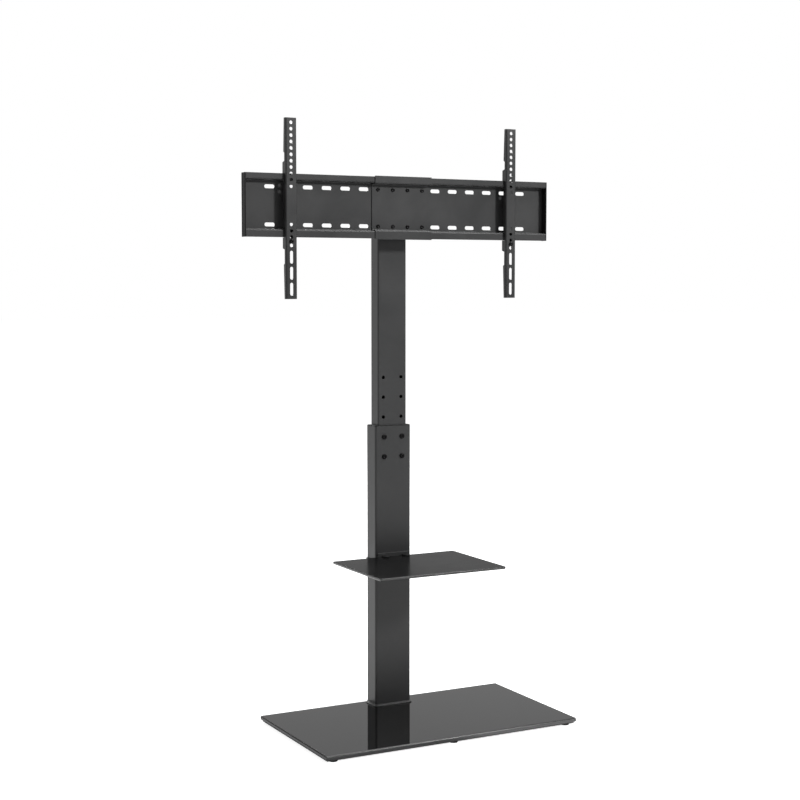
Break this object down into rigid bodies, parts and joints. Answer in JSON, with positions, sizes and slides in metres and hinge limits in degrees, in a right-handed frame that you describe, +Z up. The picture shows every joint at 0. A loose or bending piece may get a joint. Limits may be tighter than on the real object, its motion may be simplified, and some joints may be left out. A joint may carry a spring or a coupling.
{
  "type": "tv stand with mount",
  "caption": "Free-standing screen stand: glass base, telescopic steel column, glass shelf, and a swivelling slotted mount plate with hooked sliding rails.",
  "frame": {"origin": "on the floor, under the middle of the glass base", "axes": "+Z up, +X to the right for someone who looks at the front of the stand, +Y to the back, so the screen side faces -Y"},
  "size_m": [0.842, 0.385, 1.4815],
  "materials": {
    "black_glass": "black backed tempered glass with ground edges",
    "black_steel": "fine matt powder coat",
    "black_plastic": "moulded, fine grain",
    "black_rubber": "matt",
    "black_screw": "black zinc"
  },
  "bodies": {
    "stand": {"base_glass": "black_glass", "base_plate": "black_steel", "rubber_feet": "black_rubber", "foot_flange": "black_steel", "foot_screws": "black_screw", "lower_column": "black_steel", "column_collar": "black_plastic", "height_bolts": "black_screw"},
    "mast": {"mast_tube": "black_steel", "mast_glide": "black_plastic", "mast_cap": "black_plastic", "swivel_bracket": "black_steel", "bracket_bolts": "black_screw", "bracket_nuts": "black_screw", "swivel_pin": "black_screw", "swivel_washers": "black_plastic"},
    "head": {"swivel_yoke": "black_steel", "centre_plate": "black_steel", "left_plate": "black_steel", "right_plate": "black_steel", "left_end_cap": "black_plastic", "right_end_cap": "black_plastic", "plate_bolts": "black_screw", "plate_nuts": "black_screw"},
    "left_arm": {"left_rail": "black_steel", "left_lock_screw": "black_screw", "left_lock_clamp": "black_steel"},
    "right_arm": {"right_rail": "black_steel", "right_lock_screw": "black_screw", "right_lock_clamp": "black_steel"},
    "shelf": {"shelf_glass": "black_glass", "shelf_bracket": "black_steel", "shelf_pads": "black_rubber", "shelf_strap": "black_steel", "clamp_bolts": "black_screw", "clamp_nuts": "black_screw", "shelf_screws": "black_screw", "shelf_caps": "black_plastic"}
  },
  "joints": [
    {"name": "height_slide", "type": "slide", "parent": "stand", "child": "mast", "axis": [0, 0, 1], "range_m": [-0.15, 0]},
    {"name": "swivel", "type": "hinge", "parent": "mast", "child": "head", "pos_m": [0, 0.1195, 1.2755], "axis": [0, 0, 1], "range_deg": [-30, 30]},
    {"name": "left_arm_slide", "type": "slide", "parent": "head", "child": "left_arm", "axis": [-1, 0, 0], "range_m": [-0.2, 0.085]},
    {"name": "right_arm_slide", "type": "slide", "parent": "head", "child": "right_arm", "axis": [1, 0, 0], "range_m": [-0.2, 0.085]},
    {"name": "shelf_slide", "type": "slide", "parent": "stand", "child": "shelf", "axis": [0, 0, 1], "range_m": [-0.2, 0.2]}
  ]
}
